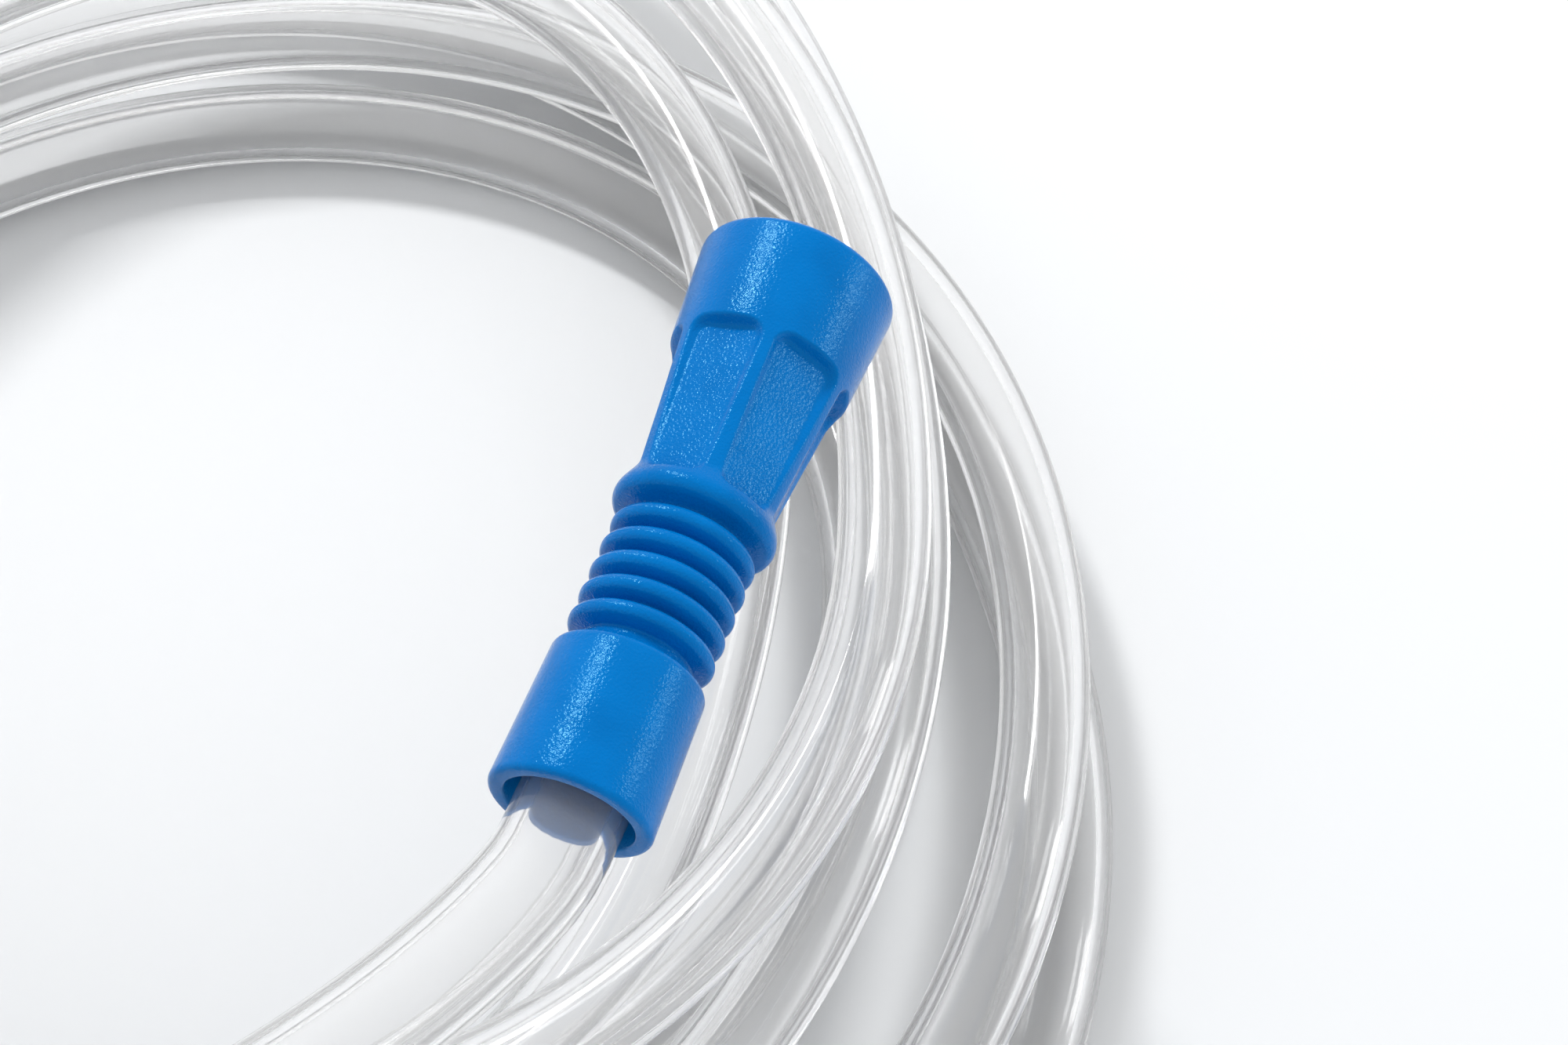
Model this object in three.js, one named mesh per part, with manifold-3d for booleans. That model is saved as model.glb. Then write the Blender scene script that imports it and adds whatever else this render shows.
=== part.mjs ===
// Suction connecting tube: a coiled clear tube with a soft moulded funnel connector on each end.
// Millimetres, +Z up. The near connector is raised over the coil and points along +Y;
// the far connector lies on the ground and points along -X.
import * as THREE from 'three';
import { mergeVertices } from 'three/addons/utils/BufferGeometryUtils.js';
import Module from 'manifold-3d';

const wasm = await Module();
wasm.setup();

// Tube
const TUBE_R = 5.0;
const TUBE_SIDES = 10;

// Connector, measured along its axis from the collar's mouth
const COLLAR_END = 14.5;
const COLLAR_MOUTH_R = 7.6;
const COLLAR_TOP_R = 7.25;
const COLLAR_ROUND = 0.6;
const SOCKET_R = 5.3;
const SOCKET_DEPTH = 11.0;
const LEAD_IN_R = 6.0;
const LEAD_IN_DEPTH = 2.4;
const BORE_R = 3.9;
const RING_COUNT = 5;
const RING_PITCH = 2.57;
const FIRST_RING = 17.22;
const RING_R = 6.9;
const RING_CREST = 1.0;
const NECK_R = 5.3;
const FLEX_GAP = 0.64;
const BEAD_AT = 30.6;
const BEAD_R = 7.85;
const SHOULDER_END = 33.0;
const SHOULDER_R = 7.15;
const GRIP_END = 49.0;
const GRIP_END_R = 8.95;
const RIM_AT = 59.2;
const RIM_R = 9.7;
const RIM_ROUND = 0.8;
const FUNNEL_MOUTH_R = 8.3;
const FUNNEL_THROAT_R = 6.4;
const TOUCH_GAP = 0.3;

// Finger panels round the grip
const PANEL_COUNT = 6;
const PANEL_ROLL = 40.0;
const PANEL_FROM = 31.7;
const PANEL_TO = 48.0;
const PANEL_LOW_WIDTH = 5.9;
const PANEL_HIGH_WIDTH = 7.1;
const PANEL_LOW_FLOOR = 6.4;
const PANEL_HIGH_FLOOR = 7.3;
const PANEL_CORNER = 1.6;

// Where the connectors lie; together their box is centred over the origin
const NEAR = new THREE.Vector3(62.25, 26.25, 70);
const FAR = new THREE.Vector3(-12.75, -75.75, RIM_R);

// The coil: two loose layers of oval turns
const LOWER = { x: 5.25, y: 50.5, turn: 0, aspect: 1.05, inner: 66, outer: 98.3, floor: 0 };
const UPPER = { x: -17.7, y: 73.6, turn: 0.366, aspect: 1.257, inner: 70, outer: 90.8, floor: 20.3 };
const LAYER_HEIGHT = 20;
const LAYER_ROOM = 5.2;

// Routes of the uncoiled tube, from each socket to the coil
const NEAR_ROUTE = [
  [62.25, 36.95, 70], [62.25, 26.25, 70], [61.6, 19.5, 69.9], [53.2, 2.9, 68.6], [35.4, -16.5, 64.5],
  [8, -33, 59], [-27, -39, 53.5], [-57, -26.5, 48.5],
];
const FAR_ROUTE = [
  [34, -62, 5.2], [16, -70.6, 6.6], [0.5, -75, 8.8], [-12.75, -75.75, RIM_R], [-23.45, -75.75, RIM_R],
];

const COLOURS = {
  blue: { color: 0x0a78c8, roughness: 0.42, metalness: 0 },
  clear: { color: 0xe4e8ea, roughness: 0.12, metalness: 0, transparent: true, opacity: 0.45 },
};
const ROUND_SEGMENTS = 32;

const group = new THREE.Group();

function addMesh(parent, name, geometry, colour) {
  const mesh = new THREE.Mesh(geometry, new THREE.MeshStandardMaterial(COLOURS[colour]));
  mesh.name = name;
  parent.add(mesh);
  return mesh;
}

// A turned solid about the Y axis; the profile is a list of [radius, height], closed on itself
function turned(profile, segments = ROUND_SEGMENTS) {
  const points = [...profile, profile[0]].map(([r, y]) => new THREE.Vector2(r, y));
  return new THREE.LatheGeometry(points, segments);
}

function toSolid(geometry) {
  const bare = geometry.clone();
  bare.deleteAttribute('normal');
  bare.deleteAttribute('uv');
  const merged = mergeVertices(bare, 1e-4);
  const vertProperties = new Float32Array(merged.attributes.position.array);
  const triVerts = new Uint32Array(merged.index.array);
  return new wasm.Manifold(new wasm.Mesh({ numProp: 3, vertProperties, triVerts }));
}

function toGeometry(solid) {
  const { vertProperties, triVerts } = solid.getMesh();
  const geometry = new THREE.BufferGeometry();
  geometry.setAttribute('position', new THREE.BufferAttribute(vertProperties, 3));
  geometry.setIndex(new THREE.BufferAttribute(triVerts, 1));
  geometry.computeVertexNormals();
  return geometry;
}

// Points of a quarter round from angle a to angle b, in degrees, about [r, y]
function arc(r, y, radius, a, b, steps = 3) {
  const points = [];
  for (let i = 0; i <= steps; i += 1) {
    const t = THREE.MathUtils.degToRad(a + ((b - a) * i) / steps);
    points.push([r + radius * Math.cos(t), y + radius * Math.sin(t)]);
  }
  return points;
}

// Height of flex line i: line 0 is between the collar and the first ring
const flexLine = (i) => FIRST_RING + (i - 0.5) * RING_PITCH;

function collar() {
  const neckEnd = flexLine(0) - FLEX_GAP / 2;
  return turned([
    [LEAD_IN_R, 0],
    ...arc(COLLAR_MOUTH_R - COLLAR_ROUND, COLLAR_ROUND, COLLAR_ROUND, -90, 0),
    [COLLAR_TOP_R, COLLAR_END - 0.4],
    [COLLAR_TOP_R - 0.4, COLLAR_END],
    [NECK_R, COLLAR_END + 0.3],
    [NECK_R, neckEnd],
    [BORE_R, neckEnd],
    [BORE_R, SOCKET_DEPTH],
    [SOCKET_R, SOCKET_DEPTH],
    [SOCKET_R, LEAD_IN_DEPTH],
  ]);
}

function ring(i) {
  const at = FIRST_RING + i * RING_PITCH;
  const half = (RING_PITCH - FLEX_GAP) / 2;
  return turned([
    [BORE_R, at - half],
    [NECK_R, at - half],
    [RING_R, at - RING_CREST / 2],
    [RING_R, at + RING_CREST / 2],
    [NECK_R, at + half],
    [BORE_R, at + half],
  ]);
}

// A tapered pocket block whose inner face is the panel's floor
function panelCutter(k) {
  const length = PANEL_TO - PANEL_FROM;
  const low = PANEL_LOW_WIDTH / 2;
  const high = PANEL_HIGH_WIDTH / 2;
  const c = PANEL_CORNER;
  const shape = new THREE.Shape();
  shape.moveTo(-low + c, 0);
  shape.lineTo(low - c, 0);
  shape.quadraticCurveTo(low, 0, low, c);
  shape.lineTo(high, length - c);
  shape.quadraticCurveTo(high, length, high - c, length);
  shape.lineTo(-high + c, length);
  shape.quadraticCurveTo(-high, length, -high, length - c);
  shape.lineTo(-low, c);
  shape.quadraticCurveTo(-low, 0, -low + c, 0);
  const block = new THREE.ExtrudeGeometry(shape, { depth: 5, bevelEnabled: false, curveSegments: 3 });
  const tilt = Math.atan2(PANEL_HIGH_FLOOR - PANEL_LOW_FLOOR, length);
  block.rotateX(tilt);
  block.translate(0, PANEL_FROM, PANEL_LOW_FLOOR);
  block.rotateY(THREE.MathUtils.degToRad(PANEL_ROLL + (k * 360) / PANEL_COUNT));
  return toSolid(block);
}

function grip() {
  const start = flexLine(RING_COUNT) + FLEX_GAP / 2;
  let solid = toSolid(turned([
    [BORE_R, start],
    [NECK_R, start],
    [NECK_R, BEAD_AT - 1.1],
    [BEAD_R - 0.7, BEAD_AT - 0.9],
    [BEAD_R, BEAD_AT],
    [BEAD_R - 0.25, BEAD_AT + 0.9],
    [SHOULDER_R, SHOULDER_END],
    [GRIP_END_R, GRIP_END],
    [FUNNEL_THROAT_R, GRIP_END],
    [BORE_R + 0.4, SHOULDER_END],
  ]));
  for (let k = 0; k < PANEL_COUNT; k += 1) {
    solid = solid.subtract(panelCutter(k));
  }
  return toGeometry(solid);
}

function funnel() {
  const from = GRIP_END + TOUCH_GAP;
  return turned([
    [FUNNEL_THROAT_R, from],
    [GRIP_END_R, from],
    [RIM_R - 0.1, RIM_AT - RIM_ROUND - 1.5],
    ...arc(RIM_R - RIM_ROUND, RIM_AT - RIM_ROUND, RIM_ROUND, 0, 90, 2),
    [FUNNEL_MOUTH_R, RIM_AT],
  ]);
}

// One whole connector, from the collar that holds the tube to the funnel's rim
function connector(prefix, place, heading) {
  const holder = new THREE.Group();
  holder.position.copy(place);
  holder.rotation.z = heading;
  addMesh(holder, `${prefix}_collar`, collar(), 'blue');
  for (let i = 0; i < RING_COUNT; i += 1) {
    addMesh(holder, `${prefix}_bellows_ring_${i + 1}`, ring(i), 'blue');
  }
  addMesh(holder, `${prefix}_grip`, grip(), 'blue');
  addMesh(holder, `${prefix}_funnel`, funnel(), 'blue');
  group.add(holder);
}

function tubeAlong(route) {
  const path = new THREE.CatmullRomCurve3(route.map((p) => new THREE.Vector3(...p)));
  const steps = Math.round(path.getLength() / (TUBE_R * 2.2));
  const section = new THREE.Shape();
  for (let i = 0; i < TUBE_SIDES; i += 1) {
    const t = (i * 2 * Math.PI) / TUBE_SIDES;
    const [x, y] = [TUBE_R * Math.cos(t), TUBE_R * Math.sin(t)];
    if (i === 0) section.moveTo(x, y);
    else section.lineTo(x, y);
  }
  return new THREE.ExtrudeGeometry(section, { steps, extrudePath: path, bevelEnabled: false });
}

// The outer shape of one layer of turns: an oval ring standing on the layer's floor
function coilLayer(layer) {
  const inner = layer.inner - LAYER_ROOM;
  const outer = layer.outer + LAYER_ROOM;
  const shape = turned([[inner, 0], [outer, 0], [outer, LAYER_HEIGHT], [inner, LAYER_HEIGHT]], 48);
  shape.rotateX(Math.PI / 2);
  shape.scale(1, layer.aspect, 1);
  shape.rotateZ(layer.turn);
  shape.translate(layer.x, layer.y, layer.floor);
  return shape;
}

connector('near', NEAR, 0);
connector('far', FAR, Math.PI / 2);
addMesh(group, 'tube_near_lead', tubeAlong(NEAR_ROUTE), 'clear');
addMesh(group, 'tube_upper_coil', coilLayer(UPPER), 'clear');
addMesh(group, 'tube_lower_coil', coilLayer(LOWER), 'clear');
addMesh(group, 'tube_far_lead', tubeAlong(FAR_ROUTE), 'clear');

export default group;
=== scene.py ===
import math

import bpy
from mathutils import Matrix, Vector


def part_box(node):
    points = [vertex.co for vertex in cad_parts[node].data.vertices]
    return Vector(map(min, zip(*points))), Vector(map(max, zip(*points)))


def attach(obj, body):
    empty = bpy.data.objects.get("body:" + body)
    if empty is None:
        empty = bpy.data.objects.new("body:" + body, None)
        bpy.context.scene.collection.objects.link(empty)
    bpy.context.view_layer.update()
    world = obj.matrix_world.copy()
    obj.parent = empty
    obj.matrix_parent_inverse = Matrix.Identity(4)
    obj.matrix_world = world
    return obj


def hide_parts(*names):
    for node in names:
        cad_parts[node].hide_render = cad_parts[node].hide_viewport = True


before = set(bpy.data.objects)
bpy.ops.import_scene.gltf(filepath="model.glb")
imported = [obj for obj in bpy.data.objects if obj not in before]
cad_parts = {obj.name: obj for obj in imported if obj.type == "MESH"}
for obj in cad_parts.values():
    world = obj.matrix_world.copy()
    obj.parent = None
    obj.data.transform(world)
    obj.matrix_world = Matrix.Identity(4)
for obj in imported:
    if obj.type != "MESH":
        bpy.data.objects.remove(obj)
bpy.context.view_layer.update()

MM = 0.001

# Places of the two connectors: the middle of each collar's mouth
near_low, near_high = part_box("near_collar")
far_low, far_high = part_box("far_collar")
NEAR_MOUTH = Vector(((near_low.x + near_high.x) / 2, near_low.y, (near_low.z + near_high.z) / 2))
FAR_MOUTH = Vector((far_high.x, (far_low.y + far_high.y) / 2, (far_low.z + far_high.z) / 2))
PLACES = {
    "near": Matrix.Translation(NEAR_MOUTH),
    "far": Matrix.Translation(FAR_MOUTH) @ Matrix.Rotation(math.pi / 2, 4, "Z"),
}

# Tube, in metres; COIL_STEP is in degrees, and CURVE_POINTS is how finely each span is curved
TUBE_R = 0.005
BORE_R = 0.00325
TUBE_STEP = 0.0022
COIL_STEP = 6
CURVE_POINTS = 24
TUBE_SIDES = 32
BORE_SIDES = 20
# Each turn of the coil: the middle of its oval, how far the oval is turned, how much longer
# its far and near halves are than its width, its half width, and the height of the tube
TURNS = [
    (0.0020, 0.0601, 0.285, 1.380, 0.965, 0.0745, 0.0353),
    (-0.0117, 0.0431, -0.035, 1.462, 0.931, 0.0731, 0.0252),
    (-0.0121, 0.0589, 0.366, 1.431, 1.084, 0.0908, 0.0252),
    (0.0080, 0.0522, -0.034, 1.050, 1.005, 0.0890, 0.0151),
    (-0.0030, 0.0603, -0.701, 1.088, 0.970, 0.0731, 0.0050),
    (0.0085, 0.0412, 0.522, 1.237, 0.982, 0.0955, 0.0050),
]
# Where one turn passes into the next, in degrees round the coil, and how high it humps there
PASSES = [
    (-120, -222, 0),
    (-435, -531, 0.007),
    (-800, -930, 0),
    (-1185, -1275, 0),
    (-1500, -1580, 0),
]
COIL_START = 190
COIL_END = -1850
# Where the tube comes down onto the first turn, and from how high above it
COIL_DROP = (190, 110, 0.0112)
NEAR_ROUTE = [
    (0.06225, 0.03695, 0.070),
    (0.06225, 0.02625, 0.070),
    (0.0616, 0.0195, 0.0699),
    (0.0532, 0.0029, 0.0686),
    (0.0354, -0.0165, 0.0645),
    (0.008, -0.033, 0.059),
    (-0.027, -0.039, 0.0535),
    (-0.057, -0.0265, 0.0485),
]
# From the end of the near route round onto the coil
JOINING_POINT = (-0.0715, 0.010, 0.0477)
FAR_ROUTE = [
    (0.0515, -0.0490, 0.005),
    (0.034, -0.062, 0.0052),
    (0.016, -0.0706, 0.0066),
    (0.0005, -0.075, 0.0088),
    (-0.01275, -0.07575, 0.0097),
    (-0.02345, -0.07575, 0.0097),
]

# Connector, in millimetres along its axis from the collar's mouth
COLLAR_SHOULDER = 13.7
COLLAR_END = 14.5
COLLAR_MOUTH_R = 7.6
COLLAR_TOP_R = 7.25
COLLAR_ROUND = 0.6
SOCKET_R = 5.3
SOCKET_END = 11.0
LEAD_IN_R = 6.0
LEAD_IN_DEPTH = 2.4
CORE_R = 3.9
RING_COUNT = 5
RING_PITCH = 2.57
FIRST_RING = 17.22
RING_R = 6.9
CREST_ROUND = 0.8
GROOVE_R = 5.15
GROOVE_ROUND = 0.22
# How far round each rounding runs before it meets the fold's flank, in degrees
FLANK = 73.0
# Each groove floor is a ball about its flex line, so the folds can tilt without a gap opening:
# how far a fold's lip reaches past the line, and how far the lip beneath lies inside it
LIP = 0.7
LIP_GAP = 0.04
BEAD_AT = 30.6
BEAD_R = 7.85
SHOULDER_END = 33.0
SHOULDER_R = 7.15
GRIP_END = 49.0
GRIP_END_R = 8.95
RIM_AT = 59.2
RIM_R = 9.7
RIM_ROUND = 0.8
FUNNEL_MOUTH_R = 8.3
FUNNEL_THROAT_R = 6.4
PANEL_COUNT = 6
PANEL_ROLL = 40.0
PANEL_FROM = 31.7
PANEL_TO = 48.0
PANEL_LOW_WIDTH = 5.9
PANEL_HIGH_WIDTH = 7.1
PANEL_LOW_FLOOR = 6.4
PANEL_HIGH_FLOOR = 7.3
PANEL_CORNER = 1.6
# How wide a panel's rounded edge is, and how much of that lies outside its outline
PANEL_EDGE = 0.5
PANEL_EDGE_OUTSIDE = 0.1
GRIP_STEP = 0.15
FUNNEL_STEP = 0.6
COLUMNS = 96
GRIP_COLUMNS = 288

# Materials: colours, roughness from low to high, and how many noise cells there are in a metre
BLUE_DARK = (0.0, 0.136, 0.445, 1)
BLUE_LIGHT = (0.0, 0.160, 0.510, 1)
BLUE_GLOSS = (0.25, 0.85, 1.0, 1)
BLUE_ROUGHNESS = (0.13, 0.18)
BLUE_GRAIN = 3800
BLUE_CLOUD = 180
CLEAR_ROUGHNESS = (0.05, 0.10)
CLEAR_CLOUD = 90
FLOOR_COLOUR = (0.79, 0.805, 0.82, 1)

# Camera: its heading and downward angle in degrees, its lens in millimetres, and where it stands
# from the near collar's mouth: to its right, above, and behind
CAMERA_HEADING = 19.4
CAMERA_DOWN = 58.9
LENS = 63
CAMERA_OFFSET = (0.0183, 0.0248, 0.233)

# Studio: the lights stand round a point on the near grip, this far along it from the mouth
LIT_POINT = 0.03
LIGHT_DISTANCE = 0.8
KEY_DIRECTION = (-0.49, 0.45, 0.72)
KEY_SIZE = (0.10, 0.16)
KEY_POWER = 3.2
SIDE_DIRECTION = (0.86, 0.44, 0.22)
SIDE_SIZE = (0.12, 0.18)
SIDE_POWER = 1.0
WORLD_STRENGTH = 0.87
FLOOR_HALF = 2.0
FLOOR_BELOW = 0.00002


def smooth(x):
    x = min(1.0, max(0.0, x))
    return x * x * (3 - 2 * x)


def mix(a, b, t):
    return a + (b - a) * t


# ---------------------------------------------------------------- camera

def add_camera():
    heading, down = math.radians(CAMERA_HEADING), math.radians(CAMERA_DOWN)
    level = Vector((-math.sin(heading), math.cos(heading), 0))
    right = Vector((math.cos(heading), math.sin(heading), 0))
    forward = level * math.cos(down) - Vector((0, 0, math.sin(down)))
    up = right.cross(forward)
    data = bpy.data.cameras.new("camera")
    data.sensor_width = 36
    data.lens = LENS
    data.clip_start = 0.01
    data.clip_end = 20
    camera = bpy.data.objects.new("camera", data)
    across, above, behind = CAMERA_OFFSET
    camera.location = NEAR_MOUTH + right * across + up * above - forward * behind
    camera.rotation_euler = Matrix((right, up, -forward)).transposed().to_euler()
    bpy.context.collection.objects.link(camera)
    bpy.context.scene.camera = camera


# ---------------------------------------------------------------- mesh helpers

def add_mesh(name, points, faces, material):
    mesh = bpy.data.meshes.new(name)
    mesh.from_pydata(points, [], faces)
    mesh.polygons.foreach_set("use_smooth", [True] * len(mesh.polygons))
    mesh.materials.append(material)
    mesh.update()
    piece = bpy.data.objects.new(name, mesh)
    bpy.context.collection.objects.link(piece)
    return piece


def grid_faces(rows, columns, start=0, flip=False):
    """Quads between rows of points."""
    faces = []
    for i in range(rows - 1):
        for j in range(columns):
            k = (j + 1) % columns
            a, b = start + i * columns, start + (i + 1) * columns
            face = (a + j, a + k, b + k, b + j)
            faces.append(face[::-1] if flip else face)
    return faces


def arc(r, s, radius, a, b, steps):
    """Points [radius, height] round (r, s), from angle a to b in degrees."""
    points = []
    for i in range(steps + 1):
        t = math.radians(mix(a, b, i / steps))
        points.append((r + radius * math.cos(t), s + radius * math.sin(t)))
    return points


def ring_of_points(r, s, place, columns):
    """A circle of points of radius r at height s along a connector."""
    turn = 2 * math.pi / columns
    circle = [Vector((r * math.sin(j * turn), s, r * math.cos(j * turn))) for j in range(columns)]
    return [place @ (point * MM) for point in circle]


def turned(name, profile, place, material):
    """A turned piece; the profile runs down its inside and up its outside, and closes."""
    points = []
    for r, s in [*profile, profile[0]]:
        points += ring_of_points(r, s, place, COLUMNS)
    return add_mesh(name, points, grid_faces(len(profile) + 1, COLUMNS), material)


# ---------------------------------------------------------------- tube

def turn_point(turn, t):
    """Middle of the tube at t degrees round one oval turn."""
    x, y, lean, far, near, radius, z = turn
    angle = math.radians(t) - lean
    u = radius * math.cos(angle)
    v = radius * math.sin(angle) * (far if math.sin(angle) > 0 else near)
    c, s = math.cos(lean), math.sin(lean)
    return Vector((x + c * u - s * v, y + s * u + c * v, z))


def coil_point(t):
    """Middle of the tube at t degrees, which runs down from turn to turn."""
    point = turn_point(TURNS[0], t)
    for (start, end, hump), turn in zip(PASSES, TURNS[1:]):
        share = smooth((start - t) / (start - end))
        point = point.lerp(turn_point(turn, t), share)
        point.z += hump * 4 * share * (1 - share)
    start, end, rise = COIL_DROP
    point.z += rise * (1 - smooth((start - t) / (start - end)))
    return point


def catmull(points, per_span):
    out = []
    ends = [points[0] * 2 - points[1], *points, points[-1] * 2 - points[-2]]
    for a, b, c, d in zip(ends, ends[1:], ends[2:], ends[3:]):
        k0 = (b - a).length ** 0.5
        k1 = (c - b).length ** 0.5
        k2 = (d - c).length ** 0.5
        m1 = (c - b) + ((b - a) / k0 - (c - a) / (k0 + k1)) * k1
        m2 = (c - b) + ((d - c) / k2 - (d - b) / (k1 + k2)) * k1
        for i in range(per_span):
            t = i / per_span
            h = smooth(t)
            out.append(b * (1 - h) + c * h + m1 * (t * (1 - t) ** 2) - m2 * (t * t * (1 - t)))
    out.append(points[-1])
    return out


def even_steps(points, step):
    lengths = [(b - a).length for a, b in zip(points, points[1:])]
    count = round(sum(lengths) / step)
    gap = sum(lengths) / count
    out, along, i = [points[0]], 0.0, 0
    for k in range(1, count):
        while along + lengths[i] < k * gap:
            along += lengths[i]
            i += 1
        out.append(points[i].lerp(points[i + 1], (k * gap - along) / lengths[i]))
    return out + [points[-1]]


def tube_path():
    coil = [coil_point(t) for t in range(COIL_START, COIL_END - 1, -COIL_STEP)]
    lead_in = [Vector(p) for p in [*NEAR_ROUTE, JOINING_POINT]]
    route = lead_in + coil + [Vector(p) for p in FAR_ROUTE]
    return even_steps(catmull(route, CURVE_POINTS), TUBE_STEP)


def tube_piece(path, material):
    tangents = [(b - a).normalized() for a, b in zip(path, path[1:])]
    tangents.append(tangents[-1])
    normal = tangents[0].orthogonal().normalized()
    outer, inner = [], []
    for middle, along in zip(path, tangents):
        normal = (normal - along * normal.dot(along)).normalized()
        side = along.cross(normal)
        for ring, count, radius in ((outer, TUBE_SIDES, TUBE_R), (inner, BORE_SIDES, BORE_R)):
            for j in range(count):
                t = 2 * math.pi * j / count
                ring.append(middle + (normal * math.cos(t) + side * math.sin(t)) * radius)
    faces = grid_faces(len(path), TUBE_SIDES)
    faces += grid_faces(len(path), BORE_SIDES, len(outer), flip=True)
    return add_mesh("clear_tube", outer + inner, faces + end_faces(len(path)), material)


def end_faces(rings):
    """The cut ends of the tube: flat rings between its outside and its bore."""
    faces = []
    inner = rings * TUBE_SIDES
    for last in (False, True):
        a = (rings - 1) * TUBE_SIDES if last else 0
        b = inner + ((rings - 1) * BORE_SIDES if last else 0)
        j = k = 0
        while j < TUBE_SIDES or k < BORE_SIDES:
            if k >= BORE_SIDES or (j < TUBE_SIDES and (j + 1) * BORE_SIDES <= (k + 1) * TUBE_SIDES):
                face = (a + j % TUBE_SIDES, a + (j + 1) % TUBE_SIDES, b + k % BORE_SIDES)
                j += 1
            else:
                face = (a + j % TUBE_SIDES, b + (k + 1) % BORE_SIDES, b + k % BORE_SIDES)
                k += 1
            faces.append(face if last else face[::-1])
    return faces


# ---------------------------------------------------------------- connector

def flex_line(i):
    """Height of flex line i: line 0 is between the collar and the first fold."""
    return FIRST_RING + (i - 0.5) * RING_PITCH


def upper_lip(i):
    """The lip of the piece below flex line i, reaching past the line."""
    return [(math.sqrt(GROOVE_R ** 2 - d ** 2), flex_line(i) + d) for d in (LIP / 2, LIP)]


def lower_lip(i):
    """The lip of the piece above flex line i, which lies just inside the other."""
    r = GROOVE_R - LIP_GAP
    return [(math.sqrt(r ** 2 - d ** 2), flex_line(i) - d) for d in (LIP, LIP / 2)]


def collar_profile():
    return [
        (CORE_R, flex_line(0)),
        (CORE_R, SOCKET_END + 0.3),
        *arc(CORE_R + 0.3, SOCKET_END + 0.3, 0.3, 180, 270, 3),
        (SOCKET_R - 0.05, SOCKET_END),
        (SOCKET_R, SOCKET_END - 0.05),
        (SOCKET_R, LEAD_IN_DEPTH + 0.2),
        (SOCKET_R + 0.05, LEAD_IN_DEPTH - 0.2),
        *arc(LEAD_IN_R + 0.25, 0.25, 0.25, 195, 270, 4),
        *arc(COLLAR_MOUTH_R - COLLAR_ROUND, COLLAR_ROUND, COLLAR_ROUND, -88, 0, 8),
        *[(mix(COLLAR_MOUTH_R, COLLAR_TOP_R, k / 6), mix(COLLAR_ROUND, COLLAR_SHOULDER, k / 6))
          for k in range(1, 7)],
        *arc(COLLAR_TOP_R - 0.8, COLLAR_SHOULDER, 0.8, 10, 80, 7),
        (5.75, COLLAR_END + 0.12),
        (5.38, COLLAR_END + 0.3),
        (5.2, COLLAR_END + 0.62),
        (GROOVE_R, flex_line(0)),
        *upper_lip(0),
    ]


def groove(s):
    """Half a fold of the bellows on each side of the groove at height s."""
    half = RING_PITCH / 2
    crest = RING_R - CREST_ROUND
    down = arc(crest, s - half, CREST_ROUND, 0, FLANK, 10)
    floor = [(2 * (GROOVE_R + GROOVE_ROUND) - r, z)
             for r, z in arc(GROOVE_R + GROOVE_ROUND, s, GROOVE_ROUND, -FLANK, FLANK, 6)]
    up = [(r, 2 * s - z) for r, z in reversed(down)]
    return down + floor + up


def ring_profile(i):
    """Fold i of the bellows, from the groove below it to the groove above it."""
    below, above = groove(flex_line(i)), groove(flex_line(i + 1))
    half = len(below) // 2
    inside = [(CORE_R, flex_line(i + 1)), (CORE_R, flex_line(i))]
    return inside + lower_lip(i) + below[half + 1:] + above[:half] + upper_lip(i + 1)


def bead_outline():
    """The grip's neck and shoulder bead, from its lip up to the bead's widest point."""
    rise = [(5.2, BEAD_AT - 1.62), (5.5, BEAD_AT - 1.3), (6.3, BEAD_AT - 1.02)]
    bead = [(BEAD_R - 0.95 + 0.95 * math.cos(t), BEAD_AT + 1.05 * math.sin(t))
            for t in (math.radians(a) for a in range(-72, 0, 9))]
    return lower_lip(RING_COUNT) + [(GROOVE_R, flex_line(RING_COUNT))] + rise + bead


def bellows_pieces(side, material):
    for i in range(RING_COUNT):
        name = f"{side}_bellows_fold_{i + 1}"
        piece = turned(name, ring_profile(i), PLACES[side], material)
        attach(piece, f"{side}_ring_{i + 1}")
        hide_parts(f"{side}_bellows_ring_{i + 1}")


def outer_radius(s):
    """The grip and funnel's turned outside, before the panels are sunk into it."""
    if s < SHOULDER_END:
        return mix(BEAD_R, SHOULDER_R, smooth((s - BEAD_AT) / (SHOULDER_END - BEAD_AT)))
    if s < GRIP_END:
        return mix(SHOULDER_R, GRIP_END_R, (s - SHOULDER_END) / (GRIP_END - SHOULDER_END))
    return mix(GRIP_END_R, RIM_R, (s - GRIP_END) / (RIM_AT - RIM_ROUND - GRIP_END))


def panel_depth(s, angle):
    """How far a panel is sunk at height s and angle from its middle, in radians."""
    outside = outer_radius(s)
    share = (s - PANEL_FROM) / (PANEL_TO - PANEL_FROM)
    floor = mix(PANEL_LOW_FLOOR, PANEL_HIGH_FLOOR, share) / math.cos(angle)
    if floor >= outside:
        return 0.0
    half_width = mix(PANEL_LOW_WIDTH, PANEL_HIGH_WIDTH, share) / 2
    half_length = (PANEL_TO - PANEL_FROM) / 2
    x = abs(math.tan(angle) * mix(PANEL_LOW_FLOOR, PANEL_HIGH_FLOOR, share)) - half_width + PANEL_CORNER
    y = abs(s - PANEL_FROM - half_length) - half_length + PANEL_CORNER
    distance = math.hypot(max(x, 0), max(y, 0)) + min(max(x, y), 0) - PANEL_CORNER
    return (outside - floor) * smooth((PANEL_EDGE_OUTSIDE - distance) / PANEL_EDGE)


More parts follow.
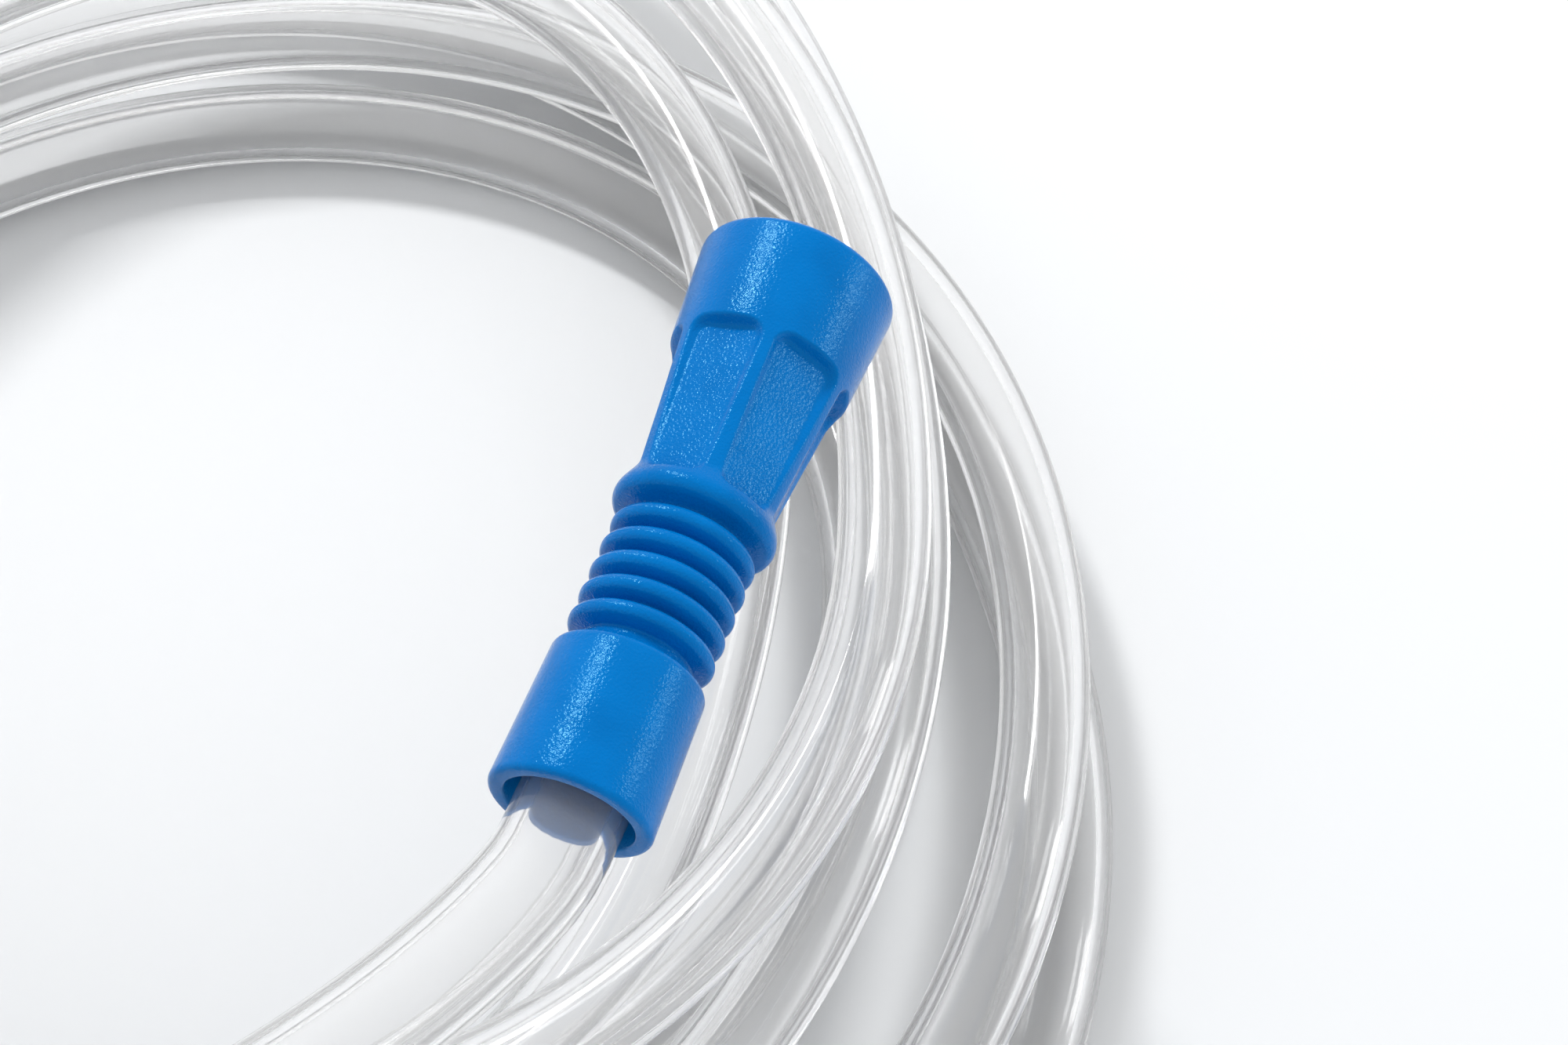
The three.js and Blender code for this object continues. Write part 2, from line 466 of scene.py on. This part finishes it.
def grip_rows():
    grip_count = round((GRIP_END - BEAD_AT) / GRIP_STEP)
    funnel_end = RIM_AT - RIM_ROUND
    funnel_count = round((funnel_end - GRIP_END) / FUNNEL_STEP)
    rows = [mix(BEAD_AT, GRIP_END, k / grip_count) for k in range(grip_count)]
    return rows + [mix(GRIP_END, funnel_end, k / funnel_count) for k in range(funnel_count + 1)]


def grip_piece(side, material):
    place = PLACES[side]
    inside = [(CORE_R, flex_line(RING_COUNT)), (CORE_R, BEAD_AT), (CORE_R + 0.4, SHOULDER_END),
              (FUNNEL_THROAT_R, GRIP_END), (FUNNEL_MOUTH_R - 0.1, RIM_AT - 0.6),
              *arc(FUNNEL_MOUTH_R + 0.4, RIM_AT - 0.4, 0.4, 180, 90, 5)]
    rim = arc(RIM_R - RIM_ROUND, RIM_AT - RIM_ROUND, RIM_ROUND, 90, 6, 9)
    points = []
    for r, s in inside + rim:
        points += ring_of_points(r, s, place, GRIP_COLUMNS)
    sector = 2 * math.pi / PANEL_COUNT
    for s in reversed(grip_rows()):
        for j in range(GRIP_COLUMNS):
            t = 2 * math.pi * j / GRIP_COLUMNS
            angle = (t - math.radians(PANEL_ROLL) + sector / 2) % sector - sector / 2
            r = outer_radius(s) - panel_depth(s, angle)
            points.append(place @ (Vector((r * math.sin(t), s, r * math.cos(t))) * MM))
    for r, s in [*reversed(bead_outline()), inside[0]]:
        points += ring_of_points(r, s, place, GRIP_COLUMNS)
    faces = grid_faces(len(points) // GRIP_COLUMNS, GRIP_COLUMNS, flip=True)
    piece = add_mesh(f"{side}_grip_and_funnel", points, faces, material)
    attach(piece, f"{side}_grip")
    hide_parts(f"{side}_grip", f"{side}_funnel")


def collar_piece(side, material):
    piece = turned(f"{side}_collar_sleeve", collar_profile(), PLACES[side], material)
    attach(piece, "coiled_tube")
    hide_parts(f"{side}_collar")


# ---------------------------------------------------------------- materials

def new_material(name):
    material = bpy.data.materials.new(name)
    material.use_nodes = True
    tree = material.node_tree
    return material, tree, tree.nodes["Principled BSDF"]


def noise(tree, scale, detail):
    place = tree.nodes.new("ShaderNodeTexCoord")
    node = tree.nodes.new("ShaderNodeTexNoise")
    node.inputs["Scale"].default_value = scale
    node.inputs["Detail"].default_value = detail
    tree.links.new(place.outputs["Object"], node.inputs["Vector"])
    return node.outputs["Fac"]


def ramp(tree, source, low, high, stops):
    node = tree.nodes.new("ShaderNodeMapRange")
    node.inputs["From Min"].default_value = low
    node.inputs["From Max"].default_value = high
    node.inputs["To Min"].default_value = stops[0]
    node.inputs["To Max"].default_value = stops[1]
    tree.links.new(source, node.inputs["Value"])
    return node.outputs["Result"]


def blue_pvc():
    """Soft coloured PVC with a fine spark-eroded grain."""
    material, tree, shader = new_material("blue_pvc")
    shader.inputs["IOR"].default_value = 1.3
    shader.inputs["Specular IOR Level"].default_value = 0.4
    shader.inputs["Specular Tint"].default_value = BLUE_GLOSS
    grain = noise(tree, BLUE_GRAIN, 1.0)
    cloud = noise(tree, BLUE_CLOUD, 3.0)
    colour = tree.nodes.new("ShaderNodeValToRGB")
    colour.color_ramp.elements[0].position = 0.3
    colour.color_ramp.elements[0].color = BLUE_DARK
    colour.color_ramp.elements[1].position = 0.7
    colour.color_ramp.elements[1].color = BLUE_LIGHT
    tree.links.new(cloud, colour.inputs["Fac"])
    tree.links.new(colour.outputs["Color"], shader.inputs["Base Color"])
    tree.links.new(ramp(tree, cloud, 0.3, 0.7, BLUE_ROUGHNESS), shader.inputs["Roughness"])
    bump = tree.nodes.new("ShaderNodeBump")
    bump.inputs["Strength"].default_value = 0.6
    bump.inputs["Distance"].default_value = 0.0001
    tree.links.new(grain, bump.inputs["Height"])
    tree.links.new(bump.outputs["Normal"], shader.inputs["Normal"])
    return material


def clear_pvc():
    """Clear extruded tube, faintly uneven along its length."""
    material, tree, shader = new_material("clear_pvc")
    shader.inputs["Base Color"].default_value = (1, 1, 1, 1)
    shader.inputs["IOR"].default_value = 1.33
    shader.inputs["Transmission Weight"].default_value = 0.93
    cloud = noise(tree, CLEAR_CLOUD, 2.0)
    tree.links.new(ramp(tree, cloud, 0.35, 0.7, CLEAR_ROUGHNESS), shader.inputs["Roughness"])
    bump = tree.nodes.new("ShaderNodeBump")
    bump.inputs["Strength"].default_value = 0.05
    bump.inputs["Distance"].default_value = 0.0004
    tree.links.new(noise(tree, CLEAR_CLOUD, 1.0), bump.inputs["Height"])
    tree.links.new(bump.outputs["Normal"], shader.inputs["Normal"])
    return material


def floor_material():
    material, _, shader = new_material("studio_floor")
    shader.inputs["Base Color"].default_value = FLOOR_COLOUR
    shader.inputs["Roughness"].default_value = 0.6
    return material


# ---------------------------------------------------------------- stage

def add_floor():
    half, z = FLOOR_HALF, -FLOOR_BELOW
    corners = [(-half, -half, z), (half, -half, z), (half, half, z), (-half, half, z)]
    floor = add_mesh("studio_sweep", corners, [(0, 1, 2, 3)], floor_material())


def add_light(name, direction, size, power):
    aim = NEAR_MOUTH + Vector((0, LIT_POINT, 0))
    place = aim + Vector(direction) * LIGHT_DISTANCE
    data = bpy.data.lights.new(name, "AREA")
    data.shape = "RECTANGLE"
    data.size, data.size_y = size
    data.energy = power
    light = bpy.data.objects.new(name, data)
    light.location = place
    light.rotation_euler = (aim - place).to_track_quat("-Z", "Y").to_euler()
    bpy.context.collection.objects.link(light)


def add_world():
    world = bpy.data.worlds.new("studio")
    world.use_nodes = True
    world.node_tree.nodes["Background"].inputs["Color"].default_value = (1, 1, 1, 1)
    world.node_tree.nodes["Background"].inputs["Strength"].default_value = WORLD_STRENGTH
    bpy.context.scene.world = world


def set_bounces():
    cycles = bpy.context.scene.cycles
    cycles.max_bounces = 64
    cycles.transmission_bounces = 64
    cycles.glossy_bounces = 8
    cycles.diffuse_bounces = 4
    bpy.context.scene.view_settings.view_transform = "Standard"


# ---------------------------------------------------------------- build

add_camera()
clear = clear_pvc()
blue = blue_pvc()
path = tube_path()
tube = tube_piece(path, clear)
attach(tube, "coiled_tube")
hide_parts("tube_near_lead", "tube_upper_coil", "tube_lower_coil", "tube_far_lead")
for side in PLACES:
    collar_piece(side, blue)
    bellows_pieces(side, blue)
    grip_piece(side, blue)
add_floor()
add_world()
add_light("key", KEY_DIRECTION, KEY_SIZE, KEY_POWER)
add_light("side", SIDE_DIRECTION, SIDE_SIZE, SIDE_POWER)
set_bounces()
